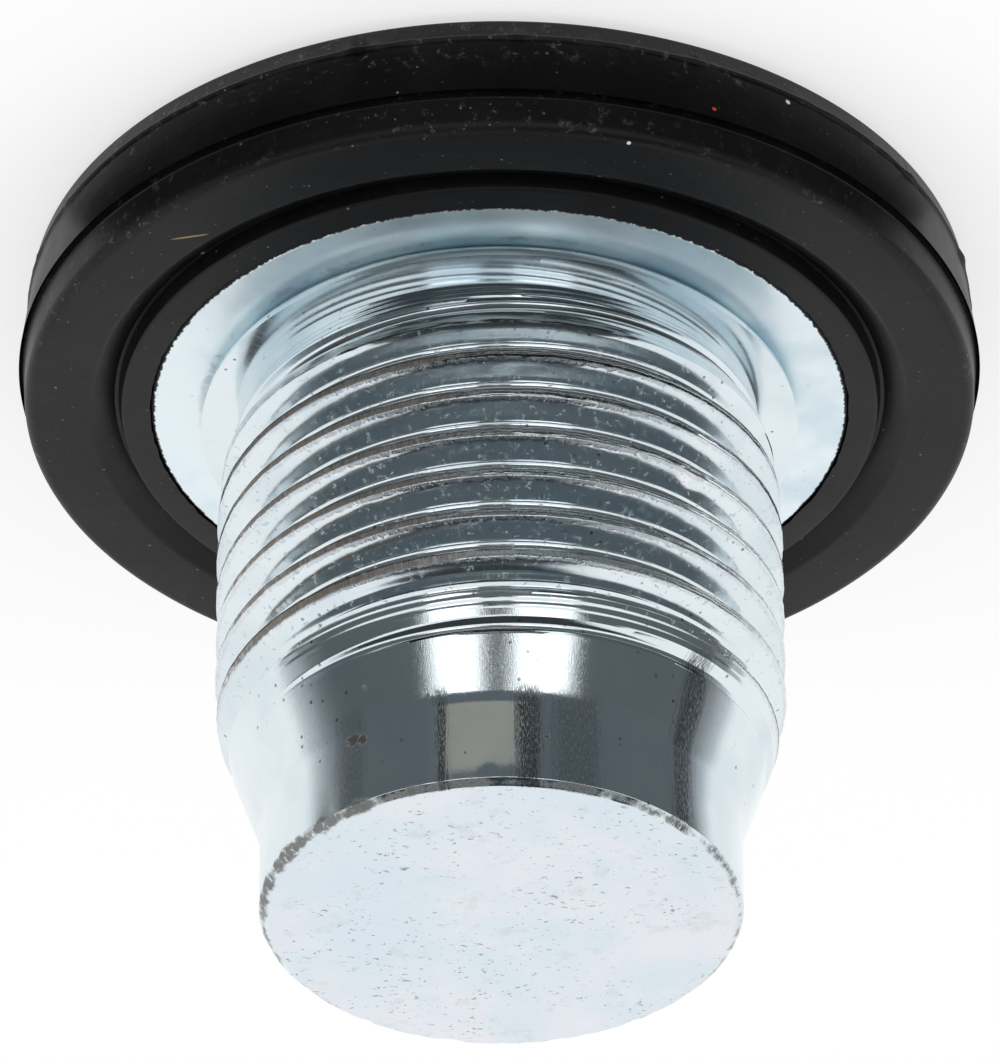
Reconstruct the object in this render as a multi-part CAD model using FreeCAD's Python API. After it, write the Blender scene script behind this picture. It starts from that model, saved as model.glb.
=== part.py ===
import FreeCAD, Part
import math
import os

# Oil drain plug, M18 x 1.5: a zinc-plated steel plug with a rubber sealing ring moulded on its flange.
# The plug stands on its flange with the shank up, and is turned about the Z axis.
# The origin is the centre of the flange's back face. Lengths are in millimetres, angles in degrees.

Vector = FreeCAD.Vector
ORIGIN = Vector(0, 0, 0)
UP = Vector(0, 0, 1)

# Thread
crest_radius = 8.9
thread_pitch = 1.5
thread_depth = 0.712
flank_half_angle = 30.0
root_flat_in_pitches = 0.25
thread_turned_by = 22.2
cutter_overrun = 0.05
cutter_end_clearance = 0.1
boolean_tolerance = 0.0001

# Shank, from the sealing shoulder up to the tip
neck_relief = 0.038
neck_chamfer = 0.65
neck_length = 0.15
lead_in_length = 1.6
crest_length = 9.15
cone_length = 4.3
pilot_relief = 0.718
pilot_length = 3.15
tip_chamfer = 0.22

# Steel flange
disc_thickness = 3.3
back_edge_chamfer = 0.3
shoulder_rise = 1.5
shoulder_width = 2.9

# Hexagon socket in the flange's back face
socket_across_flats = 8.0
socket_depth = 5.5
socket_mouth_chamfer = 0.5

# Sealing ring, from the steel shoulder out to the wall
lip_width = 0.95
groove_width = 0.2
slope_width = 0.75
pad_width = 2.1
wall_step = 0.23
wall_thickness = 1.88
wall_draft = 0.4
groove_depth = 0.5
pad_drop = 0.05
pad_wall_rise = 1.2
pad_edge_chamfer = 0.2
wall_foot_height = 0.4
wall_foot_chamfer = 0.2

# Radii and heights that follow from the sizes above
root_radius = crest_radius - thread_depth
neck_radius = root_radius - neck_relief
pilot_radius = root_radius - pilot_relief
shoulder_radius = neck_radius + shoulder_width
lip_radius = shoulder_radius + lip_width
groove_radius = lip_radius + groove_width
pad_inner_radius = groove_radius + slope_width
pad_radius = pad_inner_radius + pad_width
ring_radius = pad_radius + wall_step
foot_radius = ring_radius - wall_draft
disc_radius = ring_radius - wall_thickness
shoulder_height = disc_thickness + shoulder_rise
neck_top = shoulder_height + neck_chamfer + neck_length
crest_start = neck_top + lead_in_length
cone_start = crest_start + crest_length
pilot_start = cone_start + cone_length
tip_height = pilot_start + pilot_length
pad_height = shoulder_height - pad_drop
wall_top = pad_height - pad_wall_rise
groove_height = pad_height - groove_depth


def turned_solid(outline):
    """Revolve a closed outline of (radius, height) points about the Z axis."""
    corners = [Vector(radius, 0, height) for radius, height in outline]
    return Part.Face(Part.makePolygon(corners + corners[:1])).revolve(ORIGIN, UP, 360)


def plug_blank():
    """The turned steel body before its thread and socket: flange, shoulder, neck, shank and pilot."""
    return turned_solid([
        (0, 0),
        (disc_radius - back_edge_chamfer, 0),
        (disc_radius, back_edge_chamfer),
        (disc_radius, disc_thickness),
        (shoulder_radius, disc_thickness),
        (shoulder_radius, shoulder_height),
        (neck_radius + neck_chamfer, shoulder_height),
        (neck_radius, shoulder_height + neck_chamfer),
        (neck_radius, neck_top),
        (crest_radius, crest_start),
        (crest_radius, cone_start),
        (pilot_radius, pilot_start),
        (pilot_radius, tip_height - tip_chamfer),
        (pilot_radius - tip_chamfer, tip_height),
        (0, tip_height),
    ])


def thread_groove():
    """The helical groove between the crests, from the neck until it runs out over the cone."""
    flank_slope = math.tan(math.radians(flank_half_angle))
    half_root = root_flat_in_pitches * thread_pitch / 2
    outer_radius = crest_radius + cutter_overrun
    half_mouth = half_root + (outer_radius - root_radius) * flank_slope
    start = shoulder_height + half_mouth + cutter_end_clearance
    cone_rise = cone_length / (crest_radius - pilot_radius)
    root_leaves_cone = cone_start + thread_depth * cone_rise
    end = root_leaves_cone + half_root + cutter_end_clearance
    section = Part.makePolygon([
        Vector(outer_radius, 0, -half_mouth),
        Vector(root_radius, 0, -half_root),
        Vector(root_radius, 0, half_root),
        Vector(outer_radius, 0, half_mouth),
        Vector(outer_radius, 0, -half_mouth),
    ])
    helix = Part.Wire(Part.makeHelix(thread_pitch, end - start, crest_radius).Edges)
    groove = helix.makePipeShell([section], True, True)
    groove.translate(Vector(0, 0, start))
    return groove


def hex_socket():
    """The hexagonal key hole with its countersunk mouth."""
    corner_radius = socket_across_flats / math.sqrt(3)
    corners = []
    for corner in range(7):
        angle = math.radians(60 * corner)
        corners.append(Vector(corner_radius * math.cos(angle), corner_radius * math.sin(angle), 0))
    hexagon = Part.Face(Part.makePolygon(corners)).extrude(UP * socket_depth)
    mouth_radius = corner_radius + socket_mouth_chamfer / 2
    mouth = Part.makeCone(mouth_radius, mouth_radius - socket_mouth_chamfer, socket_mouth_chamfer)
    return hexagon.fuse(mouth)


def plug_body():
    """The steel plug: the blank with its thread rolled in and its key socket sunk."""
    threaded = plug_blank().cut([thread_groove()], boolean_tolerance)
    threaded.rotate(ORIGIN, UP, thread_turned_by)
    return threaded.cut(hex_socket())


def sealing_ring():
    """The rubber ring that wraps the flange's rim: wall, raised pad, groove and inner lip."""
    return turned_solid([
        (disc_radius, wall_foot_height),
        (foot_radius - wall_foot_chamfer, wall_foot_height),
        (foot_radius, wall_foot_height + wall_foot_chamfer),
        (ring_radius, wall_top),
        (pad_radius, wall_top),
        (pad_radius, pad_height - pad_edge_chamfer),
        (pad_radius - pad_edge_chamfer, pad_height),
        (pad_inner_radius, pad_height),
        (groove_radius, groove_height),
        (lip_radius, groove_height),
        (lip_radius, shoulder_height),
        (shoulder_radius, shoulder_height),
        (shoulder_radius, disc_thickness),
        (disc_radius, disc_thickness),
    ])


def export(name, shape):
    """Write one piece as a STEP file named after its node."""
    solid = shape.Solids[0]
    solid.exportStep(os.path.join("parts", name + ".step"))
    print(name, "valid", solid.isValid(), "solids", len(shape.Solids), "volume", round(solid.Volume, 2))


os.makedirs("parts", exist_ok=True)
export("plug_body", plug_body())
export("sealing_ring", sealing_ring())
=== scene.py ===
import math

import bpy
from bpy.props import FloatProperty, FloatVectorProperty, IntProperty, PointerProperty
from mathutils import Matrix, Vector, noise


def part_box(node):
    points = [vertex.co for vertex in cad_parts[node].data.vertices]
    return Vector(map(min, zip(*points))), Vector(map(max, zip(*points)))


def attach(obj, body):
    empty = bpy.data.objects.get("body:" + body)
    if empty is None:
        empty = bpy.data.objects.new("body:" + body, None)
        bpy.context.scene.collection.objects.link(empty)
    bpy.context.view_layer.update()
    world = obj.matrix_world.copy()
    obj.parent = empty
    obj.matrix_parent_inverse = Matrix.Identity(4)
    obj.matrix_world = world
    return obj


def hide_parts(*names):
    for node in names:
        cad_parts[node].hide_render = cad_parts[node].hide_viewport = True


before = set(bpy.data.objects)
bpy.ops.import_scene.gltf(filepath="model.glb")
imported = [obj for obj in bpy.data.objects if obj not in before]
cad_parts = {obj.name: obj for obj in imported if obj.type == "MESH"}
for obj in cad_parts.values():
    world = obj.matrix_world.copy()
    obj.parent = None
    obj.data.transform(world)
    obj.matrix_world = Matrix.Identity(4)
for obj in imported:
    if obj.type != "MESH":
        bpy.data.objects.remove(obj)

bl_info = {
    "name": "Oil drain plug",
    "version": (1, 0, 0),
    "blender": (4, 5, 0),
    "location": "3D View > Sidebar > Drain plug",
    "description": "Dresses the drain plug's frame with its plated steel body and moulded rubber ring",
    "category": "Object",
}

MM = 0.001
MERGE = 0.002 * MM

# The steel disc inside the rubber ring, and the shoulder that both pieces share
DISC_RADIUS = 13.4 * MM
DISC_TOP = 3.3 * MM
BACK_CHAMFER = 0.3 * MM
SHOULDER_RADIUS = 11.05 * MM
SHOULDER_HEIGHT = 4.8 * MM

# The rolled thread: where it starts and ends, the gap that is bridged there, its shape and its one dent
THREAD_LOW = 5.6 * MM
THREAD_HIGH = 19.0 * MM
JOIN_GAP = 0.02 * MM
FLANK_ANGLE = math.radians(30)
ROOT_ROUND = 0.26 * MM
CREST_ROUND = 0.05 * MM
DENT_ANGLE = -133
DENT_HEIGHT = 12.0
DENT_REACH = 0.32 * MM
DENT_DEPTH = 0.14 * MM

# The core that closes the neck while the key socket is cut
CORE_WALL = 0.4 * MM
CORE_TOP = 9.0 * MM

# The ring's groove, and the flash line on its wall
GROOVE_FLOOR = 4.25 * MM
FLASH_RISE = 0.75 * MM

# The camera that matches the photograph: it looks down on the tip, rolled so that the flange is at the top.
CAMERA_PLACE = Vector((0.0, -311.98, 226.73)) * MM
CAMERA_PITCH = 0.6086
CAMERA_ROLL = -0.0039
CAMERA_LENS = 409.12
CAMERA_SENSOR = 36.0

# Light: the world's level on the object, the glow of the floor where it is seen, and the two lamps
WORLD_LIGHT = 0.65
FLOOR_GLOW = 0.62
LAMP_SIZE = 0.35
LAMP_POWER = 0.5
LAMP_TARGET = Vector((0, 0, 0.01))

# Studio cards, which show only in reflections. Each has a name, a colour, an inner and an outer radius,
# a start and an end in degrees from the front, a height, a rise towards its outer edge and a strength.
WHITE = (1.0, 1.0, 1.0)
TABLE = (0.115, 0.13, 0.14)
TABLE_SIDE = (0.24, 0.25, 0.26)
TABLE_END = (0.50, 0.52, 0.54)
UPRIGHT = (0.11, 0.122, 0.125)
UPRIGHT_DARK = (0.03, 0.034, 0.036)
STUDIO_CARDS = (
    # Dark table in front of the plug, paler at its ends, mirrored by the point, the crests and the ring
    ("front_table", TABLE, 0.0262, 0.30, -88, 75, 0.0015, 0.0, 1.0),
    ("right_table", TABLE_SIDE, 0.0262, 0.30, -97, -88, 0.0015, 0.0, 1.0),
    ("right_table_end", TABLE_END, 0.0262, 0.30, -105, -97, 0.0015, 0.0, 1.0),
    ("left_table", TABLE_SIDE, 0.0262, 0.30, 75, 84, 0.0015, 0.0, 1.0),
    ("left_table_end", TABLE_END, 0.0262, 0.30, 84, 93, 0.0015, 0.0, 1.0),
    ("near_table", (0.012, 0.013, 0.014), 0.0156, 0.0262, -70, 70, 0.0002, 0.0, 1.0),
    # Warm patch low on the point
    ("warm_patch", (0.32, 0.31, 0.28), 0.0162, 0.0225, -9.4, 22.3, 0.014, 0.0, 1.0),
    # Upright cards at the horizon, with two bright windows between them
    ("left_card", UPRIGHT, 0.25, 0.25, 28, 92, -0.02, 0.073, 1.0),
    ("middle_card", UPRIGHT_DARK, 0.25, 0.25, 0.7, 8, -0.02, 0.073, 1.0),
    ("middle_card_right", UPRIGHT_DARK, 0.25, 0.25, -5.5, -0.7, -0.02, 0.073, 1.0),
    ("right_card", UPRIGHT, 0.25, 0.25, -100, -29, -0.02, 0.073, 1.0),
    ("left_window", WHITE, 0.25, 0.25, 8, 28, -0.02, 0.073, 1.8),
    ("right_window", WHITE, 0.25, 0.25, -29, -5.5, -0.02, 0.073, 1.8),
    # Dark room above and behind the camera
    ("front_room", (0.04, 0.045, 0.05), 0.0, 0.25, -72, 72, 0.26, -0.091, 1.0),
)


# ---------------------------------------------------------------- sizes and colours

class PlugSizes(bpy.types.PropertyGroup):
    """Sizes of the steel plug."""
    steps: IntProperty(name="Steps", description="Faces in one turn round the axis", default=240)
    crest_radius: FloatProperty(name="Crest radius", description="Radius over the thread crests",
                                default=8.9 * MM, subtype='DISTANCE', unit='LENGTH')
    pitch: FloatProperty(name="Pitch", description="Rise of the thread in one turn",
                         default=1.5 * MM, subtype='DISTANCE', unit='LENGTH')
    thread_depth: FloatProperty(name="Thread depth", description="Depth of the groove below the crest",
                                default=0.80 * MM, subtype='DISTANCE', unit='LENGTH')
    crest_width: FloatProperty(name="Crest width", description="Flat at the top of each crest",
                               default=0.26 * MM, subtype='DISTANCE', unit='LENGTH')
    first_crest: FloatProperty(name="First crest", description="Height of a crest at the front of the plug",
                               default=7.31 * MM, subtype='DISTANCE', unit='LENGTH')
    neck_radius: FloatProperty(name="Neck radius", description="Radius of the relief under the thread",
                               default=8.15 * MM, subtype='DISTANCE', unit='LENGTH')
    neck_fillet: FloatProperty(name="Neck fillet", description="Round between neck and shoulder",
                               default=0.65 * MM, subtype='DISTANCE', unit='LENGTH')
    pilot_radius: FloatProperty(name="Pilot radius", description="Radius of the plain point",
                                default=7.47 * MM, subtype='DISTANCE', unit='LENGTH')
    pilot_start: FloatProperty(name="Pilot start", description="Height where the cone meets the pilot",
                               default=20.65 * MM, subtype='DISTANCE', unit='LENGTH')
    cone_start: FloatProperty(name="Cone start", description="Height where the crests start to fall away",
                              default=16.35 * MM, subtype='DISTANCE', unit='LENGTH')
    shoulder_radius: FloatProperty(name="Shoulder radius", description="Radius of the bare steel shoulder",
                                   default=SHOULDER_RADIUS, subtype='DISTANCE', unit='LENGTH')
    shoulder_height: FloatProperty(name="Shoulder height", description="Height of the steel shoulder",
                                   default=SHOULDER_HEIGHT, subtype='DISTANCE', unit='LENGTH')
    tip_height: FloatProperty(name="Tip height", description="Height of the plug's tip",
                              default=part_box("plug_body")[1][2], subtype='DISTANCE', unit='LENGTH')
    socket_flats: FloatProperty(name="Socket flats", description="Key socket, across flats",
                                default=8.0 * MM, subtype='DISTANCE', unit='LENGTH')
    socket_depth: FloatProperty(name="Socket depth", description="Depth of the key socket",
                                default=5.5 * MM, subtype='DISTANCE', unit='LENGTH')


class RingSizes(bpy.types.PropertyGroup):
    """Sizes of the rubber ring."""
    steps: IntProperty(name="Steps", description="Faces in one turn round the axis", default=360)
    outer_radius: FloatProperty(name="Outer radius", description="Largest radius of the ring",
                                default=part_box("sealing_ring")[1][0], subtype='DISTANCE', unit='LENGTH')
    back_radius: FloatProperty(name="Back radius", description="Radius of the outer wall at its back edge",
                               default=14.88 * MM, subtype='DISTANCE', unit='LENGTH')
    back_height: FloatProperty(name="Back height", description="Height of the ring's back edge",
                               default=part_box("sealing_ring")[0][2], subtype='DISTANCE', unit='LENGTH')
    wall_top: FloatProperty(name="Wall top", description="Height of the step in the outer wall",
                            default=3.55 * MM, subtype='DISTANCE', unit='LENGTH')
    pad_height: FloatProperty(name="Pad height", description="Height of the raised sealing pad",
                              default=4.75 * MM, subtype='DISTANCE', unit='LENGTH')
    pad_radius: FloatProperty(name="Pad radius", description="Outer radius of the sealing pad",
                              default=15.05 * MM, subtype='DISTANCE', unit='LENGTH')
    pad_inner_radius: FloatProperty(name="Pad inner radius", description="Where the pad slopes to the groove",
                                    default=12.95 * MM, subtype='DISTANCE', unit='LENGTH')
    lip_radius: FloatProperty(name="Lip radius", description="Outer radius of the lip beside the steel",
                              default=12.0 * MM, subtype='DISTANCE', unit='LENGTH')


class Finishes(bpy.types.PropertyGroup):
    """Colours of the two materials."""
    zinc: FloatVectorProperty(name="Zinc", description="Bright zinc plating", subtype='COLOR',
                              default=(0.76, 0.83, 0.86), min=0, max=1)
    zinc_shade: FloatVectorProperty(name="Zinc shade", description="Bluer parts of the plating",
                                    subtype='COLOR', default=(0.66, 0.75, 0.80), min=0, max=1)
    worn_crest: FloatVectorProperty(name="Worn crest", description="Dull torn metal on the crests",
                                    subtype='COLOR', default=(0.150, 0.128, 0.108), min=0, max=1)
    stain: FloatVectorProperty(name="Stain", description="Brown stains on the pilot",
                               subtype='COLOR', default=(0.065, 0.052, 0.036), min=0, max=1)
    rubber: FloatVectorProperty(name="Rubber", description="Black moulded rubber", subtype='COLOR',
                                default=(0.0032, 0.0032, 0.0036), min=0, max=1)
    # The dust colour also paints a highlight along the corner of the step in the ring's wall.
    dust_and_highlight: FloatVectorProperty(name="Dust", description="Pale dust on the rubber", subtype='COLOR',
                              default=(0.42, 0.42, 0.41), min=0, max=1)


# ---------------------------------------------------------------- modelling helpers

def leave_edit_mode():
    if bpy.context.object and bpy.context.object.mode != 'OBJECT':
        bpy.ops.object.mode_set(mode='OBJECT')
    bpy.ops.object.select_all(action='DESELECT')


def rounded(outline, segments=5):
    """Points of an outline of (radius, height, corner round), with each round as an arc."""
    points = []
    count = len(outline)
    for index, (x, z, size) in enumerate(outline):
        corner = Vector((x, z))
        if not size:
            points.append(corner)
            continue
        before = (Vector(outline[index - 1][:2]) - corner).normalized()
        after = (Vector(outline[(index + 1) % count][:2]) - corner).normalized()
        half = before.angle(after) / 2
        centre = corner + (before + after).normalized() * size / math.sin(half)
        start = corner + before * size / math.tan(half) - centre
        sweep = math.pi - 2 * half
        if start.x * after.y - start.y * after.x < 0:
            sweep = -sweep
        for step in range(segments + 1):
            turned = start.copy()
            turned.rotate(Matrix.Rotation(sweep * step / segments, 2))
            points.append(centre + turned)
    return points


def pick(piece):
    """Leave edit mode with only this piece selected."""
    leave_edit_mode()
    piece.select_set(True)
    bpy.context.view_layer.objects.active = piece


def single_vertex(name, place):
    """A new mesh of one vertex, left in edit mode."""
    leave_edit_mode()
    bpy.ops.mesh.primitive_plane_add(size=MM, location=(0, 0, 0))
    piece = bpy.context.object
    piece.name = piece.data.name = name
    bpy.ops.object.mode_set(mode='EDIT')
    bpy.ops.mesh.select_mode(type='VERT')
    bpy.ops.mesh.select_all(action='SELECT')
    bpy.ops.mesh.merge(type='CENTER')
    bpy.ops.transform.translate(value=place)
    return piece


def extrude(x, y, z):
    bpy.ops.mesh.extrude_region_move(TRANSFORM_OT_translate={"value": (x, y, z)})


def draw_outline(name, points, closed):
    """Extrude one vertex along the points, in the XZ plane, and leave the outline in edit mode."""
    here = points[0]
    piece = single_vertex(name, (here[0], 0, here[1]))
    for point in points[1:] + (points[:1] if closed else []):
        extrude(point[0] - here[0], 0, point[1] - here[1])
        here = point
    if closed:
        bpy.ops.mesh.select_all(action='SELECT')
        bpy.ops.mesh.remove_doubles(threshold=MERGE / 10)
    return piece


def turn_outline(piece, steps):
    """Spin the outline in edit mode once round the Z axis, and close its seam and poles."""
    bpy.ops.mesh.select_all(action='SELECT')
    bpy.ops.mesh.spin(steps=steps, angle=math.tau, center=(0, 0, 0), axis=(0, 0, 1))
    bpy.ops.mesh.select_all(action='SELECT')
    bpy.ops.mesh.remove_doubles(threshold=MERGE / 10)
    bpy.ops.mesh.normals_make_consistent(inside=False)
    bpy.ops.object.mode_set(mode='OBJECT')
    return piece


def apply_modifiers(piece):
    pick(piece)
    for modifier in list(piece.modifiers):
        bpy.ops.object.modifier_apply(modifier=modifier.name)


def share(value, low, span):
    """0 below low, 1 where the value is a span above it, and straight between."""
    return min(1.0, max(0.0, (value - low) / span))


def spread(vertex, factor):
    """Move a vertex straight out from the axis, or in."""
    vertex.co.x *= factor
    vertex.co.y *= factor


def smooth(piece, degrees):
    pick(piece)
    bpy.ops.object.shade_smooth_by_angle(angle=math.radians(degrees))


def finish_piece(piece, material, node):
    piece.data.materials.clear()
    piece.data.materials.append(material)
    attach(piece, "root")
    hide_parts(node)


# ---------------------------------------------------------------- material helpers

class Nodes:
    """Short calls for laying out the nodes of a material or a world."""

    def __init__(self, owner, output='ShaderNodeOutputMaterial'):
        self.owner = owner
        owner.use_nodes = True
        self.tree = owner.node_tree
        self.tree.nodes.clear()
        self.output = self.add(output)

    def add(self, kind, **settings):
        made = self.tree.nodes.new(kind)
        for key, value in settings.items():
            setattr(made, key, value)
        return made

    def plug(self, socket, value):
        if isinstance(value, bpy.types.NodeSocket):
            self.tree.links.new(value, socket)
        elif value is not None:
            socket.default_value = value

    def maths(self, operation, first, second=None, clamp=False):
        made = self.add('ShaderNodeMath', operation=operation, use_clamp=clamp)
        self.plug(made.inputs[0], first)
        self.plug(made.inputs[1], second)
        return made.outputs[0]

    def times(self, value, *others):
        for other in others:
            value = self.maths('MULTIPLY', value, other)
        return value

    def plus(self, first, second):
        return self.maths('ADD', first, second)

    def minus(self, first, second, clamp=False):
        return self.maths('SUBTRACT', first, second, clamp)

    def most(self, first, second):
        return self.maths('MAXIMUM', first, second)

    def absolute(self, value):
        return self.maths('ABSOLUTE', value)

    def layers(self, value, masks):
        """The value with each mask added to it, times its amount."""
        for mask, amount in masks:
            value = self.plus(value, self.times(mask, amount))
        return value

    def vector(self, operation, first, second=None):
        made = self.add('ShaderNodeVectorMath', operation=operation)
        self.plug(made.inputs[0], first)
        self.plug(made.inputs[1], second)
        return made.outputs['Value' if operation in ('LENGTH', 'DISTANCE') else 'Vector']

    def ramp(self, value, low, high, start=0.0, end=1.0):
        """Value between low and high, smoothly stretched to run from start to end."""
        made = self.add('ShaderNodeMapRange', interpolation_type='SMOOTHSTEP')
        for socket, number in zip(made.inputs, (value, low, high, start, end)):
            self.plug(socket, number)
        return made.outputs[0]

    def noise(self, coordinates, scale, detail=3.0, roughness=0.55):
        made = self.add('ShaderNodeTexNoise')
        self.plug(made.inputs['Vector'], coordinates)
        self.plug(made.inputs['Scale'], scale)
        self.plug(made.inputs['Detail'], detail)
        self.plug(made.inputs['Roughness'], roughness)
        return made.outputs['Fac']

    def specks(self, coordinates, scale, size):
        """1 inside small round specks, one in each cell of the given scale."""
        made = self.add('ShaderNodeTexVoronoi')
        self.plug(made.inputs['Vector'], coordinates)
        self.plug(made.inputs['Scale'], scale)
        near = self.ramp(made.outputs['Distance'], size, size * 0.6)
        split = self.add('ShaderNodeSeparateColor')
        self.plug(split.inputs[0], made.outputs['Color'])
        return near, split.outputs[0], split.outputs[1]

    def mix(self, amount, first, second):
        made = self.add('ShaderNodeMix', data_type='RGBA')
        self.plug(made.inputs[0], amount)
        self.plug(made.inputs[6], first)
        self.plug(made.inputs[7], second)
        return made.outputs[2]

    def coat(self, under, mask, amount, over):
        """A colour with another laid over it where the mask is, at a strength."""
        return self.mix(self.times(mask, amount), under, over)

    def combine(self, x, y, z):
        made = self.add('ShaderNodeCombineXYZ')
        for socket, value in zip(made.inputs, (x, y, z)):
            self.plug(socket, value)
        return made.outputs[0]

    def bump(self, height, distance, strength):
        made = self.add('ShaderNodeBump')
        self.plug(made.inputs['Height'], height)
        self.plug(made.inputs['Distance'], distance)
        self.plug(made.inputs['Strength'], strength)
        return made.outputs[0]

    def round_axis(self):
        """Object coordinates, and the distance from the axis, the angle round it and the height."""
        place = self.add('ShaderNodeTexCoord').outputs['Object']
        split = self.add('ShaderNodeSeparateXYZ')
        self.plug(split.inputs[0], place)
        x, y, z = split.outputs
        radius = self.vector('LENGTH', self.combine(x, y, 0.0))
        return place, radius, self.maths('ARCTAN2', y, x), z

    def seen_white(self):
        """1 for what the camera, a mirror or glass sees, and 0 for what lights the object."""
        rays = self.add('ShaderNodeLightPath').outputs
        return self.most(rays['Is Camera Ray'], self.most(rays['Is Glossy Ray'], rays['Is Transmission Ray']))

    def shade(self, shader):
        self.plug(self.output.inputs['Surface'], shader.outputs[0])
        return self.owner


def colour(values):
    return tuple(values) + (1.0,)


def on_plug(degrees, radius, height):
    """The point at an angle round the axis, a radius and a height, both in millimetres."""
    angle = math.radians(degrees)
    return Vector((radius * math.cos(angle), radius * math.sin(angle), height)) * MM


# ---------------------------------------------------------------- plated steel

def plated_steel(sizes, finishes):
    n = Nodes(bpy.data.materials.new("plated_steel"))
    place, radius, angle, height = n.round_axis()

    clouds = n.noise(place, 260.0, 3.0)
    tint = n.mix(n.ramp(clouds, 0.4, 0.72), colour(finishes.zinc), colour(finishes.zinc_shade))

    # Where the parts of the plug are
    on_end = n.times(n.ramp(height, sizes.tip_height - 0.06 * MM, sizes.tip_height - 0.03 * MM),
                     n.ramp(radius, 7.25 * MM, 7.2 * MM))
    on_shoulder = n.times(n.ramp(height, 5.2 * MM, 5.0 * MM), n.ramp(radius, 8.72 * MM, 8.84 * MM),
                          n.ramp(height, 3.5 * MM, 3.8 * MM))
    on_thread = n.times(n.ramp(height, 7.2 * MM, 8.2 * MM), n.ramp(height, 17.7 * MM, 17.2 * MM))
    on_point = n.ramp(height, 17.6 * MM, 18.2 * MM)

    # Fine scratches along the point, and grain and small pits everywhere
    long_marks = n.combine(n.times(angle, 110.0), n.times(radius, 600.0), n.times(height, 420.0))
    long_marks = n.noise(long_marks, 1.0, 3.0, 0.75)
    scratches = n.ramp(long_marks, 0.56, 0.72)
    speckle = n.noise(n.combine(n.times(angle, 230.0), 0.0, n.times(height, 5200.0)), 1.0, 3.0, 0.75)
    grain = n.noise(place, 5200.0, 2.0, 0.7)
    pits, pit_pick, _ = n.specks(place, 3600.0, 0.26)
    pit_field = n.ramp(n.noise(place, 420.0, 1.0), 0.42, 0.62)
    pits = n.times(pits, n.ramp(pit_pick, 0.86, 0.90), pit_field, n.minus(1.0, on_end))

    # Distance from the middle of the nearest crest, measured along the axis towards the tip
    turns = n.maths('DIVIDE', n.plus(angle, math.pi / 2), math.tau)
    turns = n.minus(n.maths('DIVIDE', n.minus(height, sizes.first_crest), sizes.pitch), turns)
    from_crest = n.times(n.minus(turns, n.maths('ROUND', turns)), sizes.pitch)

    # Dull torn metal on the crests, wider and browner on one side, and painted shade: a dark line at each
    # crest's flange side, where the edge-on flank falls in shade
    side = n.maths('COSINE', n.plus(angle, math.radians(50)))
    browner = n.ramp(side, 0.74, 0.985)
    ragged = n.noise(n.combine(n.times(angle, 34.0), 0.0, n.times(height, 2200.0)), 1.0, 3.0, 0.75)
    fine = n.noise(place, 3800.0, 3.0, 0.75)
    edge_shift = n.times(n.minus(ragged, 0.5), 0.16 * MM)
    along = n.plus(from_crest, edge_shift)
    reach = n.ramp(browner, 0.0, 1.0, 0.035 * MM, 0.135 * MM)
    reach = n.plus(reach, n.ramp(height, 14.8 * MM, 16.0 * MM, 0.0, 0.06 * MM))
    flat = n.minus(n.absolute(n.plus(along, 0.05 * MM)), reach)
    flat = n.times(n.ramp(flat, 0.03 * MM, -0.02 * MM), on_thread)
    painted_shade_line = n.times(n.ramp(n.absolute(n.plus(along, 0.125 * MM)), 0.04 * MM, 0.012 * MM), on_thread)
    torn = n.ramp(fine, 0.40, 0.56)
    ticks = n.noise(n.combine(n.times(angle, 190.0), 0.0, n.times(height, 300.0)), 1.0, 3.0)
    brown = n.times(flat, n.ramp(n.plus(browner, n.times(torn, 0.55)), 0.3, 1.25, 0.22, 0.92))
    crest_tint = n.mix(n.ramp(ticks, 0.4, 0.62), colour(finishes.worn_crest),
                       colour(2.1 * value for value in finishes.worn_crest))
    tint = n.mix(brown, tint, crest_tint)
    # Painted shade: the dark line along the flange side of each crest
    tint = n.mix(n.times(painted_shade_line, n.ramp(ragged, 0.3, 0.5, 0.45, 0.95)), tint, (0.035, 0.026, 0.018, 1.0))

    # A pale torn edge on the tip side of each crest, partly a painted highlight along that edge
    pale = n.times(n.ramp(n.absolute(n.minus(along, 0.15 * MM)), 0.06 * MM, 0.02 * MM),
                   on_thread, n.ramp(fine, 0.34, 0.52))
    tint = n.coat(tint, pale, 0.32, (0.62, 0.63, 0.70, 1.0))

    # A bright tear in the metal beside the dent in one crest
    tear = n.vector('DISTANCE', place, tuple(on_plug(-132, 8.75, 12.05)))
    tear = n.ramp(n.plus(tear, n.times(n.minus(ragged, 0.5), 0.9 * MM)), 0.50 * MM, 0.30 * MM)
    tint = n.mix(n.times(tear, n.ramp(fine, 0.40, 0.55, 0.0, 0.85)), tint, (0.86, 0.87, 0.90, 1.0))

    # Painted reflection: scratchy dark bands down the point, standing in for dark reflections. All but the
    # first lie on the pilot alone.
    painted_reflection_bands = None
    on_pilot = n.ramp(height, 20.1 * MM, 20.5 * MM)
    for degrees, width, strength, whole in (
            (-138, 0.085, 0.95, True), (-96.5, 0.070, 0.95, False), (-76, 0.032, 0.90, False),
            (-108, 0.14, 0.45, False), (-52, 0.10, 0.30, False)):
        off = n.absolute(n.minus(angle, math.radians(degrees)))
        off = n.plus(off, n.times(n.minus(long_marks, 0.5), 0.12))
        band = n.times(n.ramp(off, width, width * 0.35), strength)
        if not whole:
            band = n.times(band, on_pilot)
        painted_reflection_bands = band if painted_reflection_bands is None else n.most(painted_reflection_bands, band)
    painted_reflection_bands = n.times(painted_reflection_bands, n.ramp(speckle, 0.41, 0.51), on_point, n.minus(1.0, on_end))
    # Lay the painted dark reflections over the colour
    tint = n.coat(tint, painted_reflection_bands, 0.9, (0.03, 0.034, 0.04, 1.0))

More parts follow.
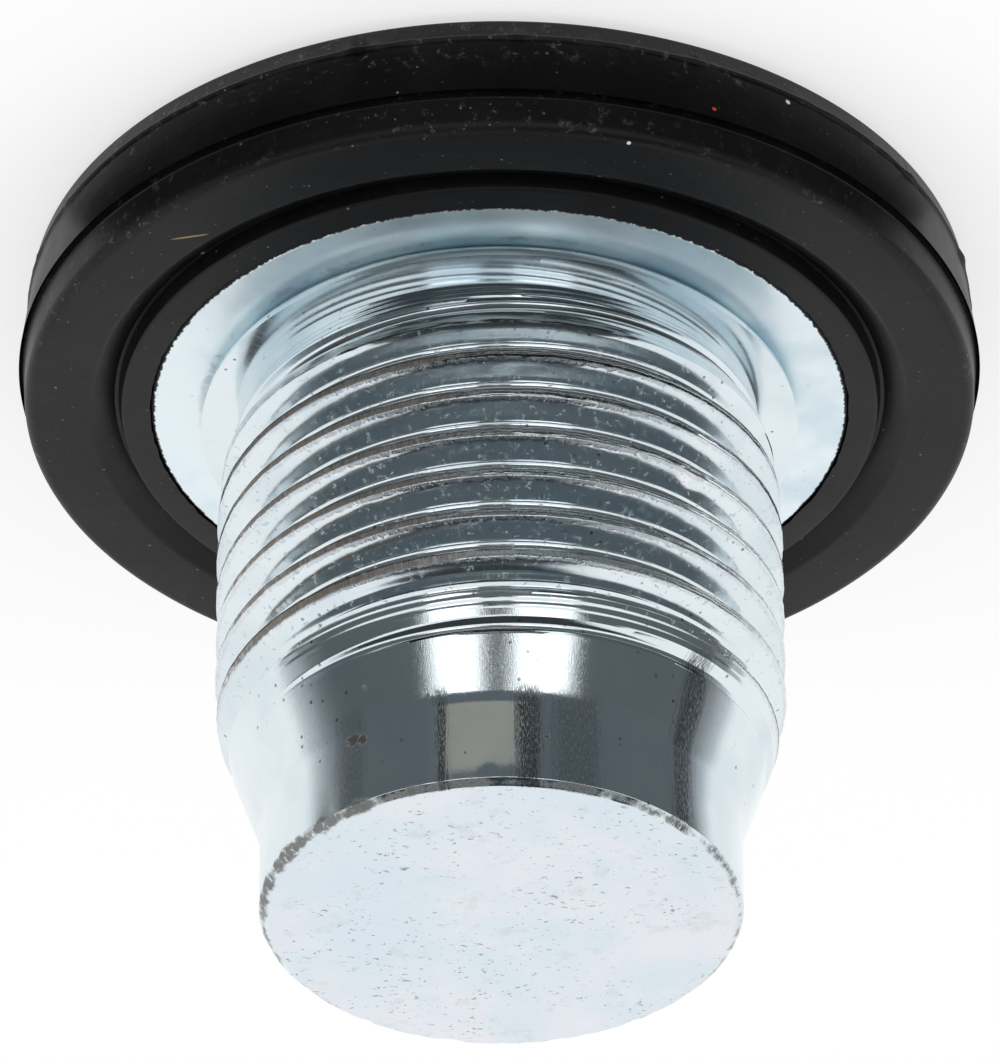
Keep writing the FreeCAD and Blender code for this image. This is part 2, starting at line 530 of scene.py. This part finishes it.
    # Stains: spots on the point, and a ragged dirty edge round the end face
    blot = n.noise(place, 3200.0, 3.0, 0.75)
    stained = None
    for degrees, level, reach_mm in (
            (-55.5, 21.35, 0.17), (-53.2, 21.24, 0.17), (-51.5, 21.15, 0.10), (-46, 19.55, 0.08),
            (-42, 18.75, 0.07), (-58, 19.75, 0.05), (-70, 20.4, 0.04), (-101, 22.0, 0.04)):
        spot_radius = 7.47 if level > 20.6 else 7.8
        away = n.vector('DISTANCE', place, tuple(on_plug(degrees, spot_radius, level)))
        away = n.plus(away, n.times(n.minus(blot, 0.5), 0.5 * MM))
        near = n.ramp(away, (reach_mm + 0.06) * MM, reach_mm * MM)
        stained = near if stained is None else n.most(stained, near)
    rim_wide = n.ramp(n.maths('COSINE', n.plus(angle, math.radians(35))), 0.60, 0.97, 0.11 * MM, 0.25 * MM)
    rim_patch = n.ramp(n.noise(n.combine(n.times(angle, 5.0), 0.0, 0.0), 1.0, 2.0), 0.38, 0.62)
    rim_wide = n.times(rim_wide, n.ramp(rim_patch, 0.0, 1.0, 0.45, 1.25))
    from_rim = n.vector('LENGTH', n.combine(n.minus(7.4 * MM, radius),
                                            n.minus(sizes.tip_height - 0.05 * MM, height), 0.0))
    rim = n.minus(n.plus(from_rim, n.times(n.minus(blot, 0.45), 0.45 * MM)), rim_wide)
    rim = n.times(n.ramp(rim, 0.09 * MM, -0.09 * MM), n.ramp(fine, 0.30, 0.46))
    stained = n.most(stained, n.times(rim, 0.8))
    tint = n.coat(tint, stained, 0.95, colour(finishes.stain))

    # The end face is pale, with a scatter of small dark specks and short scratches
    end_clouds = n.noise(place, 190.0, 3.0, 0.65)
    end_tint = n.mix(n.ramp(end_clouds, 0.38, 0.66), (0.70, 0.79, 0.85, 1.0), (0.80, 0.82, 0.87, 1.0))
    tint = n.mix(n.times(on_end, n.minus(1.0, stained)), tint, end_tint)
    short_place = n.add('ShaderNodeMapping')
    n.plug(short_place.inputs['Vector'], place)
    short_place.inputs['Rotation'].default_value = (0.0, 0.0, math.radians(24))
    short_place.inputs['Scale'].default_value = (4200.0, 7400.0, 900.0)
    short = n.noise(short_place.outputs[0], 1.0, 3.0, 0.6)
    end_field = n.ramp(n.noise(place, 330.0, 1.0), 0.34, 0.58)
    end_specks = n.times(n.ramp(short, 0.63, 0.67), end_field, on_end)
    tint = n.coat(tint, end_specks, 0.75, (0.16, 0.18, 0.17, 1.0))
    dull = n.times(n.ramp(n.noise(place, 720.0, 3.0, 0.7), 0.58, 0.68), on_end)
    tint = n.coat(tint, dull, 0.16, (0.45, 0.43, 0.40, 1.0))
    tint = n.coat(tint, pits, 0.75, (0.12, 0.14, 0.16, 1.0))

    # The shoulder is a little bluer, and a ragged film of rubber creeps over its rim
    mottled = n.mix(n.ramp(clouds, 0.44, 0.64), (0.79, 0.89, 0.93, 1.0), (0.64, 0.77, 0.83, 1.0))
    tint = n.coat(tint, on_shoulder, 0.75, mottled)
    rim_noise = n.noise(n.combine(n.times(angle, 42.0), n.times(radius, 900.0), 0.0), 1.0, 4.0, 0.8)
    creep = n.plus(radius, n.times(n.minus(rim_noise, 0.5), 0.28 * MM))
    film = n.times(n.ramp(creep, 10.91 * MM, 10.95 * MM), n.ramp(height, 4.3 * MM, 4.5 * MM),
                   n.ramp(height, 5.2 * MM, 5.0 * MM))
    tint = n.mix(film, tint, colour(finishes.rubber))

    # Soft grey smudge on the shoulder beside the neck
    smudge_noise = n.noise(place, 900.0, 3.0, 0.75)
    beside = n.plus(9.35 * MM, n.times(n.minus(smudge_noise, 0.5), 0.6 * MM))
    beside = n.ramp(n.absolute(n.minus(radius, beside)), 0.20 * MM, 0.02 * MM)
    smudge = n.times(beside, on_shoulder, n.ramp(smudge_noise, 0.45, 0.62), n.ramp(side, 0.3, 0.9))
    tint = n.coat(tint, smudge, 0.5, (0.36, 0.35, 0.38, 1.0))

    roughness = n.layers(n.ramp(clouds, 0.3, 0.75, 0.10, 0.16), (
        (on_point, -0.035), (pale, 0.22), (film, 0.35), (brown, 0.40), (painted_shade_line, 0.25), (on_shoulder, 0.20),
        (on_end, 0.22), (stained, 0.35), (painted_reflection_bands, 0.25), (scratches, 0.07)))

    # Fine rolled lines where the thread starts beside the neck and where it runs out on the cone
    fine_lines = n.minus(height, n.times(angle, sizes.pitch / math.tau))
    fine_lines = n.maths('SINE', n.times(fine_lines, math.tau / (0.25 * MM)))
    near_neck = n.times(n.ramp(height, 5.65 * MM, 5.8 * MM), n.ramp(height, 7.3 * MM, 6.9 * MM))
    near_cone = n.times(n.ramp(height, 16.5 * MM, 16.8 * MM), n.ramp(height, 18.2 * MM, 17.7 * MM))
    fine_lines = n.times(fine_lines, n.most(near_neck, near_cone))

    # Relief: grain, rolled lines, scratches on the point, torn crests, glints and waves on the thread
    relief = n.layers(n.times(grain, 0.35), (
        (fine_lines, 2.6), (n.times(speckle, on_point), 0.9), (n.times(flat, fine), -7.0), (pale, -3.0),
        (n.times(n.ramp(fine, 0.63, 0.68), on_thread), 6.0),
        (n.times(n.noise(place, 1100.0, 1.0), on_thread), 4.0)))

    steel = n.add('ShaderNodeBsdfPrincipled')
    n.plug(steel.inputs['Base Color'], tint)
    not_metal = n.most(n.most(n.times(brown, 0.5), n.times(stained, 0.8)), film)
    n.plug(steel.inputs['Metallic'], n.minus(1.0, not_metal, clamp=True))
    n.plug(steel.inputs['Roughness'], roughness)
    n.plug(steel.inputs['Normal'], n.bump(relief, 0.004 * MM, 0.6))
    return n.shade(steel)


# ---------------------------------------------------------------- rubber

def moulded_rubber(finishes):
    n = Nodes(bpy.data.materials.new("seal_rubber"))
    place, radius, angle, height = n.round_axis()
    clouds = n.noise(place, 260.0, 3.0, 0.65)
    grain = n.noise(place, 5200.0, 2.0, 0.7)
    black = colour(finishes.rubber)
    grey = colour(2.2 * value for value in finishes.rubber)
    tint = n.mix(n.ramp(clouds, 0.42, 0.78, 0.0, 0.7), black, grey)

    # Dust specks in three sizes, gathered in patches
    patches = n.ramp(n.noise(place, 210.0, 2.0), 0.38, 0.62, 0.3, 1.0)
    dust_and_highlight = None
    for scale, size, keep, strength in (
            (1500.0, 0.085, 0.60, 0.75), (3400.0, 0.15, 0.70, 0.40), (640.0, 0.052, 0.72, 0.95)):
        near, chance, shade = n.specks(place, scale, size)
        spot = n.times(near, n.ramp(chance, keep, keep + 0.05), shade, strength)
        dust_and_highlight = spot if dust_and_highlight is None else n.most(dust_and_highlight, spot)
    dust_and_highlight = n.times(dust_and_highlight, patches)

    # Scuffs of dust where the pad's edge has rubbed
    scuff = n.ramp(n.noise(place, 2400.0, 4.0, 0.8), 0.57, 0.68)
    at_edge = n.ramp(n.absolute(n.minus(radius, 14.95 * MM)), 0.22 * MM, 0.03 * MM)
    dust_and_highlight = n.most(dust_and_highlight, n.times(scuff, at_edge, patches, 0.22))

    # A painted highlight: a thin light line along the corner of the step in the wall, laid in with the dust
    corner = n.vector('LENGTH', n.combine(n.minus(radius, 15.23 * MM), n.minus(height, 3.50 * MM), 0.0))
    corner = n.times(n.ramp(corner, 0.10 * MM, 0.03 * MM), n.ramp(scuff, 0.0, 1.0, 0.05, 0.30))
    dust_and_highlight = n.most(dust_and_highlight, n.times(corner, patches))
    # The dust colour goes on the dust and on the painted highlight along the step's corner
    tint = n.mix(dust_and_highlight, tint, colour(finishes.dust_and_highlight))

    # A tan fibre and a few single bright or red specks
    for degrees, far, level, size, shade in (
            (-116.0, 15.21, 3.0, 0.09, (0.60, 0.07, 0.04, 1.0)),
            (-126.8, 15.04, 1.5, 0.11, (0.9, 0.9, 0.85, 1.0)),
            (-6.0, 14.1, 4.75, 0.05, (0.5, 0.12, 0.08, 1.0)),
            (-20.0, 12.45, 4.3, 0.06, (0.8, 0.8, 0.78, 1.0)),
            (-105.7, 14.8, 4.73, 0.08, (0.8, 0.8, 0.78, 1.0)),
            (-104.0, 12.9, 4.7, 0.05, (0.7, 0.7, 0.68, 1.0))):
        away = n.vector('DISTANCE', place, tuple(on_plug(degrees, far, level)))
        tint = n.mix(n.ramp(away, size * MM, size * 0.6 * MM), tint, shade)
    fibre = n.add('ShaderNodeMapping')
    fibre.vector_type = 'TEXTURE'
    n.plug(fibre.inputs['Vector'], place)
    fibre.inputs['Location'].default_value = on_plug(-44.7, 13.5, 4.75)
    fibre.inputs['Rotation'].default_value = (0.0, 0.0, math.radians(13))
    fibre.inputs['Scale'].default_value = (0.62 * MM, 0.045 * MM, 0.3 * MM)
    along = n.vector('LENGTH', fibre.outputs[0])
    tint = n.mix(n.ramp(along, 1.05, 0.85), tint, (0.30, 0.24, 0.12, 1.0))

    # Relief: grain, fine turned lines round the ring, and soft waves
    turned = n.combine(n.times(angle, 1.2), n.times(radius, 5200.0), n.times(height, 5200.0))
    relief = n.layers(n.times(grain, 0.8), (
        (n.noise(turned, 1.0, 2.0), 0.35), (n.noise(place, 900.0, 3.0), 1.6)))

    rubber = n.add('ShaderNodeBsdfPrincipled')
    n.plug(rubber.inputs['Base Color'], tint)
    n.plug(rubber.inputs['Roughness'], n.layers(n.ramp(clouds, 0.3, 0.8, 0.40, 0.50), ((dust_and_highlight, 0.3),)))
    rubber.inputs['Specular IOR Level'].default_value = 0.25
    n.plug(rubber.inputs['Normal'], n.bump(relief, 0.012 * MM, 0.7))
    return n.shade(rubber)


# ---------------------------------------------------------------- pieces

def thread_limit(sizes, height):
    """Largest radius that the threaded shank has at a height: neck, lead-in, crests, cone."""
    stations = (
        (5.60 * MM, sizes.neck_radius),
        (5.81 * MM, sizes.neck_radius + 0.07 * MM),
        (6.60 * MM, sizes.neck_radius + 0.35 * MM),
        (7.31 * MM, sizes.crest_radius - 0.18 * MM),
        (8.81 * MM, sizes.crest_radius - 0.04 * MM),
        (9.50 * MM, sizes.crest_radius),
        (sizes.cone_start - 0.2 * MM, sizes.crest_radius),
        (sizes.cone_start + 0.5 * MM, sizes.crest_radius - 0.10 * MM),
        (sizes.pilot_start, sizes.pilot_radius),
    )
    if height <= stations[0][0]:
        return stations[0][1]
    for (low, start), (high, end) in zip(stations, stations[1:]):
        if height <= high:
            return start + (end - start) * (height - low) / (high - low)
    return stations[-1][1]


def cut_level(height, keep_above):
    """Trim the mesh in edit mode at a level."""
    bpy.ops.mesh.select_all(action='SELECT')
    bpy.ops.mesh.bisect(plane_co=(0, 0, height), plane_no=(0, 0, 1), clear_inner=keep_above,
                        clear_outer=not keep_above, threshold=MERGE / 20)


def rolled_thread(sizes, low, high):
    """The helical thread between two levels, with its crests worn and cut to the shank's outline."""
    pitch = sizes.pitch
    crest = sizes.crest_radius
    root = crest - sizes.thread_depth
    half_crest = sizes.crest_width / 2
    flank = sizes.thread_depth * math.tan(FLANK_ANGLE)
    profile = rounded([
        (crest, 0, 0),
        (crest, half_crest, CREST_ROUND),
        (root, half_crest + flank, ROOT_ROUND),
        (root, pitch - half_crest - flank, ROOT_ROUND),
        (crest, pitch - half_crest, CREST_ROUND),
        (crest, pitch, 0),
    ], segments=4)
    points = []
    for here, ahead in zip(profile, profile[1:]):
        cuts = max(1, round((ahead - here).length / (0.12 * MM)))
        points += [here.lerp(ahead, cut / cuts) for cut in range(cuts)]
    points.append(profile[-1])

    # The outline is drawn at angle 0, a quarter turn past the front.
    turns_below = math.ceil((sizes.first_crest - low) / pitch) + 1
    start = sizes.first_crest + pitch / 4 - turns_below * pitch
    thread = draw_outline("rolled_thread", [Vector((p.x, p.y + start)) for p in points], closed=False)
    bpy.ops.object.mode_set(mode='OBJECT')
    screw = thread.modifiers.new("thread", 'SCREW')
    screw.axis = 'Z'
    screw.screw_offset = pitch
    screw.iterations = math.ceil((high - start) / pitch) + 1
    screw.steps = screw.render_steps = sizes.steps
    screw.use_merge_vertices = True
    screw.merge_threshold = MERGE / 20
    apply_modifiers(thread)

    bpy.ops.object.mode_set(mode='EDIT')
    bpy.ops.mesh.select_all(action='SELECT')
    bpy.ops.mesh.remove_doubles(threshold=MERGE / 10)
    cut_level(low, keep_above=True)
    cut_level(high, keep_above=False)
    bpy.ops.mesh.select_all(action='SELECT')
    bpy.ops.mesh.normals_make_consistent(inside=False)
    bpy.ops.object.mode_set(mode='OBJECT')

    # The groove opens to its full depth above the neck. Crests are a little rough, and one has a dent.
    dent = on_plug(DENT_ANGLE, crest / MM, DENT_HEIGHT)
    for vertex in thread.data.vertices:
        place = vertex.co
        radius = math.hypot(place.x, place.y)
        limit = thread_limit(sizes, place.z)
        floor = sizes.neck_radius + (root - sizes.neck_radius) * share(place.z, 6.5 * MM, 1.5 * MM)
        wanted = min(max(radius, floor), limit)
        if place.z < 17 * MM:
            rough = noise.noise(place / (0.55 * MM)) * 0.018 * MM
            rough += noise.noise(place / (0.2 * MM)) * 0.012 * MM
            near_crest = max(0.0, (radius - limit + 0.1 * MM) / (0.08 * MM))
            wanted += rough * min(1.0, near_crest * share(place.z, 7.0 * MM, 0.8 * MM))
        wanted -= DENT_DEPTH * math.exp(-((place - dent).length / DENT_REACH) ** 2)
        spread(vertex, wanted / radius)
    return thread


def flange_and_neck(sizes, top):
    """The turned flange with its key socket, open at the neck."""
    core_radius = sizes.neck_radius - CORE_WALL
    flange = draw_outline("flange", rounded([
        (0, 0, 0),
        (DISC_RADIUS - BACK_CHAMFER, 0, 0),
        (DISC_RADIUS, BACK_CHAMFER, 0),
        (DISC_RADIUS, DISC_TOP, 0),
        (sizes.shoulder_radius, DISC_TOP, 0),
        (sizes.shoulder_radius, sizes.shoulder_height, 0.18 * MM),
        (sizes.neck_radius, sizes.shoulder_height, sizes.neck_fillet),
        (sizes.neck_radius, top, 0),
        (core_radius, top, 0),
        (core_radius, CORE_TOP, 0),
        (0, CORE_TOP, 0),
    ], segments=8), closed=False)
    turn_outline(flange, sizes.steps)

    socket_corner = sizes.socket_flats / math.sqrt(3)
    cutters = []
    for shape, bottom, height, low_radius, high_radius, sides in (
            ("key_hole", -1.0 * MM, sizes.socket_depth + 1.0 * MM, socket_corner, socket_corner, 6),
            ("mouth", -0.5 * MM, 1.0 * MM, socket_corner + 0.75 * MM, socket_corner - 0.25 * MM, 96)):
        leave_edit_mode()
        bpy.ops.mesh.primitive_cone_add(vertices=sides, radius1=low_radius, radius2=high_radius, depth=height,
                                        location=(0, 0, bottom + height / 2), rotation=(0, 0, math.pi / 6))
        cutter = bpy.context.object
        cutter.name = shape
        cutters.append(cutter)
    for cutter in cutters:
        carve = flange.modifiers.new(cutter.name, 'BOOLEAN')
        carve.operation = 'DIFFERENCE'
        carve.solver = 'EXACT'
        carve.object = cutter
    apply_modifiers(flange)
    for cutter in cutters:
        bpy.data.objects.remove(cutter, do_unlink=True)

    # The closed core above the neck was only there for the cut.
    bpy.ops.object.mode_set(mode='EDIT')
    bpy.ops.mesh.select_mode(type='FACE')
    bpy.ops.mesh.select_all(action='DESELECT')
    bpy.ops.object.mode_set(mode='OBJECT')
    for face in flange.data.polygons:
        centre = face.center
        core = centre.z > top - MERGE and math.hypot(centre.x, centre.y) > sizes.socket_flats / 2 + 1.0 * MM
        face.select = core or centre.z > CORE_TOP - MERGE
    bpy.ops.object.mode_set(mode='EDIT')
    bpy.ops.mesh.delete(type='FACE')
    bpy.ops.mesh.select_mode(type='VERT')
    bpy.ops.mesh.select_all(action='SELECT')
    bpy.ops.mesh.remove_doubles(threshold=MERGE / 10)
    bpy.ops.object.mode_set(mode='OBJECT')
    return flange


def pilot_point(sizes, low):
    """The cone below the last crests, the plain pilot and its end face."""
    radius_low = thread_limit(sizes, low)
    pilot = draw_outline("pilot", rounded([
        (radius_low, low, 0),
        (sizes.pilot_radius, sizes.pilot_start, 2.0 * MM),
        (sizes.pilot_radius, 21.4 * MM, 0),
        (sizes.pilot_radius, 22.2 * MM, 0),
        (sizes.pilot_radius, 23.0 * MM, 0),
        (sizes.pilot_radius, sizes.tip_height - 0.2 * MM, 0.06 * MM),
        (sizes.pilot_radius - 0.2 * MM, sizes.tip_height, 0.06 * MM),
        (6.6 * MM, sizes.tip_height, 0),
        (5.0 * MM, sizes.tip_height - 0.01 * MM, 0),
        (2.5 * MM, sizes.tip_height - 0.02 * MM, 0),
        (0, sizes.tip_height - 0.02 * MM, 0),
    ], segments=6), closed=False)
    turn_outline(pilot, sizes.steps)
    edge_low = sizes.tip_height - 0.4 * MM
    for vertex in pilot.data.vertices:
        place = vertex.co
        radius = math.hypot(place.x, place.y)
        if place.z > edge_low and radius > 7.1 * MM:
            chip = max(0.0, noise.noise(place / (0.5 * MM)) - 0.1) * 0.09 * MM
            spread(vertex, 1 - chip / radius)
            vertex.co.z -= chip * 0.6
    return pilot


def join_loops(piece, level_low, level_high):
    """Bridge the two open edges of the mesh that lie between two levels."""
    bpy.ops.object.mode_set(mode='EDIT')
    bpy.ops.mesh.select_mode(type='EDGE')
    bpy.ops.mesh.select_all(action='DESELECT')
    bpy.ops.mesh.select_non_manifold()
    bpy.ops.object.mode_set(mode='OBJECT')
    corners = piece.data.vertices
    for edge in piece.data.edges:
        if edge.select:
            edge.select = all(level_low < corners[index].co.z < level_high for index in edge.vertices)
    bpy.ops.object.mode_set(mode='EDIT')
    bpy.ops.mesh.bridge_edge_loops()
    bpy.ops.object.mode_set(mode='OBJECT')


class DRAINPLUG_OT_steel_plug(bpy.types.Operator):
    """Model the plated steel plug: flange, neck, rolled thread and pilot"""
    bl_idname = "drainplug.steel_plug"
    bl_label = "Steel plug"

    def execute(self, context):
        sizes = context.scene.plug_sizes
        thread = rolled_thread(sizes, THREAD_LOW, THREAD_HIGH)
        flange = flange_and_neck(sizes, THREAD_LOW - JOIN_GAP)
        pilot = pilot_point(sizes, THREAD_HIGH + JOIN_GAP)
        leave_edit_mode()
        for piece in (thread, flange, pilot):
            piece.select_set(True)
        context.view_layer.objects.active = thread
        bpy.ops.object.join()
        plug = context.object
        plug.name = plug.data.name = "steel_plug"
        join_loops(plug, THREAD_LOW - 2 * JOIN_GAP, THREAD_LOW + JOIN_GAP)
        join_loops(plug, THREAD_HIGH - JOIN_GAP, THREAD_HIGH + 2 * JOIN_GAP)
        bpy.ops.object.mode_set(mode='EDIT')
        bpy.ops.mesh.select_all(action='SELECT')
        bpy.ops.mesh.normals_make_consistent(inside=False)
        bpy.ops.object.mode_set(mode='OBJECT')
        smooth(plug, 32)
        finish_piece(plug, plated_steel(sizes, context.scene.plug_finishes), "plug_body")
        return {'FINISHED'}


class DRAINPLUG_OT_rubber_ring(bpy.types.Operator):
    """Model the moulded rubber ring on the flange's rim"""
    bl_idname = "drainplug.rubber_ring"
    bl_label = "Rubber ring"

    def execute(self, context):
        sizes = context.scene.ring_sizes
        back = sizes.back_height
        flash = back + FLASH_RISE
        flash_radius = sizes.back_radius + 0.09 * MM
        ring = draw_outline("rubber_ring", rounded([
            (DISC_RADIUS, back, 0),
            (sizes.back_radius, back, 0.2 * MM),
            (flash_radius, flash - 0.12 * MM, 0),
            (flash_radius + 0.06 * MM, flash - 0.05 * MM, 0),
            (flash_radius + 0.09 * MM, flash, 0),
            (flash_radius + 0.06 * MM, flash + 0.05 * MM, 0),
            (flash_radius, flash + 0.12 * MM, 0),
            (flash_radius + 0.02 * MM, flash + 0.22 * MM, 0),
            (flash_radius + 0.04 * MM, flash + 0.40 * MM, 0),
            (flash_radius + 0.12 * MM, flash + 1.00 * MM, 0),
            (sizes.outer_radius, sizes.wall_top, 0.16 * MM),
            (sizes.pad_radius + 0.02 * MM, sizes.wall_top, 0.05 * MM),
            (sizes.pad_radius, sizes.pad_height, 0.35 * MM),
            (sizes.pad_inner_radius, sizes.pad_height, 0.3 * MM),
            (sizes.lip_radius + 0.2 * MM, GROOVE_FLOOR, 0.06 * MM),
            (sizes.lip_radius, GROOVE_FLOOR, 0.04 * MM),
            (sizes.lip_radius, SHOULDER_HEIGHT, 0.12 * MM),
            (SHOULDER_RADIUS + 0.01 * MM, SHOULDER_HEIGHT, 0),
            (SHOULDER_RADIUS, DISC_TOP, 0),
            (DISC_RADIUS, DISC_TOP, 0),
        ], segments=5), closed=True)
        turn_outline(ring, sizes.steps)

        # The flash line is nibbled, and the lip's edge on the steel is ragged.
        for vertex in ring.data.vertices:
            place = vertex.co
            radius = math.hypot(place.x, place.y)
            if abs(place.z - flash) < 0.1 * MM and radius > flash_radius + 0.03 * MM:
                nib = max(0.0, noise.noise(place / (0.7 * MM))) ** 1.5 * 0.16 * MM - 0.03 * MM
                spread(vertex, 1 + nib / radius)
            if radius < 11.3 * MM and place.z > 4.7 * MM:
                ragged = noise.noise(place / (0.35 * MM)) * 0.05 * MM
                spread(vertex, 1 + ragged / radius)
        smooth(ring, 35)
        finish_piece(ring, moulded_rubber(context.scene.plug_finishes), "sealing_ring")
        return {'FINISHED'}


# ---------------------------------------------------------------- studio

def card_material(name, tint, strength):
    """A studio card of one even colour."""
    n = Nodes(bpy.data.materials.new(name))
    glow = n.add('ShaderNodeEmission')
    n.plug(glow.inputs['Color'], colour(tint))
    n.plug(glow.inputs['Strength'], strength)
    return n.shade(glow)


def reflected_only(card):
    """Let a studio card show only in reflections."""
    card.visible_camera = False
    card.visible_diffuse = False
    card.visible_shadow = False
    card.visible_transmission = False
    card.visible_volume_scatter = False


def sector_card(name, tint, inner, outer, start, end, height, rise, strength):
    """A flat or conical card round the plug from one azimuth to another, in degrees from the front."""
    turn = math.radians(start - 90)
    across, ahead = math.cos(turn), math.sin(turn)
    card = single_vertex(name, (inner * across, inner * ahead, height))
    extrude((outer - inner) * across, (outer - inner) * ahead, rise)
    bpy.ops.mesh.select_all(action='SELECT')
    bpy.ops.mesh.spin(steps=max(2, round(abs(end - start) / 3)), angle=math.radians(start - end),
                      center=(0, 0, 0), axis=(0, 0, 1))
    bpy.ops.object.mode_set(mode='OBJECT')
    card.data.materials.append(card_material(name, tint, strength))
    reflected_only(card)


def studio_floor():
    leave_edit_mode()
    bpy.ops.mesh.primitive_circle_add(vertices=96, radius=3.0, fill_type='NGON', location=(0, 0, -0.01 * MM))
    floor = bpy.context.object
    floor.name = floor.data.name = "studio_floor"
    bpy.ops.object.mode_set(mode='EDIT')
    bpy.ops.mesh.inset(thickness=0.5)
    bpy.ops.object.mode_set(mode='OBJECT')
    n = Nodes(bpy.data.materials.new("studio_floor"))
    matte = n.add('ShaderNodeBsdfDiffuse')
    n.plug(matte.inputs['Color'], (0.5, 0.5, 0.5, 1.0))
    white = n.add('ShaderNodeEmission')
    n.plug(white.inputs['Color'], colour(WHITE))
    n.plug(white.inputs['Strength'], n.times(n.seen_white(), FLOOR_GLOW))
    both = n.add('ShaderNodeAddShader')
    n.plug(both.inputs[0], matte.outputs[0])
    n.plug(both.inputs[1], white.outputs[0])
    floor.data.materials.append(n.shade(both))


def studio_world(scene):
    """White where the camera or a mirror sees it, and a little darker as a light on the object."""
    scene.world = bpy.data.worlds.new("studio")
    n = Nodes(scene.world, 'ShaderNodeOutputWorld')
    background = n.add('ShaderNodeBackground')
    n.plug(background.inputs['Color'], colour(WHITE))
    n.plug(background.inputs['Strength'], n.ramp(n.seen_white(), 0.0, 1.0, WORLD_LIGHT, 1.0))
    n.shade(background)


def soft_lamp(name, place):
    """A square lamp that looks at the plug and doesn't show in its reflections."""
    light = bpy.data.lights.new(name, 'AREA')
    light.shape = 'SQUARE'
    light.size = LAMP_SIZE
    light.energy = LAMP_POWER
    lamp = bpy.data.objects.new(name, light)
    bpy.context.scene.collection.objects.link(lamp)
    lamp.location = place
    lamp.visible_glossy = False
    lamp.rotation_euler = (LAMP_TARGET - Vector(place)).to_track_quat('-Z', 'Y').to_euler()


def studio_camera(scene):
    camera = bpy.data.cameras.new("photo_camera")
    camera.lens = CAMERA_LENS
    camera.sensor_fit = 'VERTICAL'
    camera.sensor_height = CAMERA_SENSOR
    camera.sensor_width = CAMERA_SENSOR
    camera.clip_start = 0.01
    camera.clip_end = 20.0
    seen = bpy.data.objects.new("photo_camera", camera)
    scene.collection.objects.link(seen)
    ahead = Vector((0, math.cos(CAMERA_PITCH), -math.sin(CAMERA_PITCH)))
    down = Vector((0, math.sin(CAMERA_PITCH), math.cos(CAMERA_PITCH)))
    right = Vector((-1, 0, 0))
    across = right * math.cos(CAMERA_ROLL) - down * math.sin(CAMERA_ROLL)
    below = right * math.sin(CAMERA_ROLL) + down * math.cos(CAMERA_ROLL)
    turn = Matrix((across, -below, -ahead)).transposed()
    seen.matrix_world = Matrix.Translation(CAMERA_PLACE) @ turn.to_4x4()
    scene.camera = seen


class DRAINPLUG_OT_studio(bpy.types.Operator):
    """Set up the floor, the studio cards, the lamps and the camera"""
    bl_idname = "drainplug.studio"
    bl_label = "Studio"

    def execute(self, context):
        scene = context.scene
        scene.view_settings.view_transform = 'Standard'
        studio_floor()
        studio_world(scene)
        for card in STUDIO_CARDS:
            sector_card(*card)
        soft_lamp("left_lamp", (0.45, -0.25, 0.30))
        soft_lamp("right_lamp", (-0.45, -0.25, 0.30))
        studio_camera(scene)
        return {'FINISHED'}


class DRAINPLUG_PT_panel(bpy.types.Panel):
    bl_label = "Drain plug"
    bl_idname = "DRAINPLUG_PT_panel"
    bl_space_type = 'VIEW_3D'
    bl_region_type = 'UI'
    bl_category = "Drain plug"

    def draw(self, context):
        for operator in OPERATORS:
            self.layout.operator(operator.bl_idname)
        for group in (context.scene.plug_sizes, context.scene.ring_sizes, context.scene.plug_finishes):
            box = self.layout.box()
            for name in group.bl_rna.properties.keys():
                if name not in ("rna_type", "name"):
                    box.prop(group, name)


OPERATORS = (DRAINPLUG_OT_steel_plug, DRAINPLUG_OT_rubber_ring, DRAINPLUG_OT_studio)
CLASSES = (PlugSizes, RingSizes, Finishes) + OPERATORS + (DRAINPLUG_PT_panel,)


def register():
    for cls in CLASSES:
        bpy.utils.register_class(cls)
    bpy.types.Scene.plug_sizes = PointerProperty(type=PlugSizes)
    bpy.types.Scene.ring_sizes = PointerProperty(type=RingSizes)
    bpy.types.Scene.plug_finishes = PointerProperty(type=Finishes)


def unregister():
    del bpy.types.Scene.plug_finishes
    del bpy.types.Scene.ring_sizes
    del bpy.types.Scene.plug_sizes
    for cls in reversed(CLASSES):
        bpy.utils.unregister_class(cls)


def main():
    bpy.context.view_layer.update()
    register()
    bpy.ops.drainplug.steel_plug()
    bpy.ops.drainplug.rubber_ring()
    bpy.ops.drainplug.studio()
    leave_edit_mode()


if __name__ == "__main__":
    main()
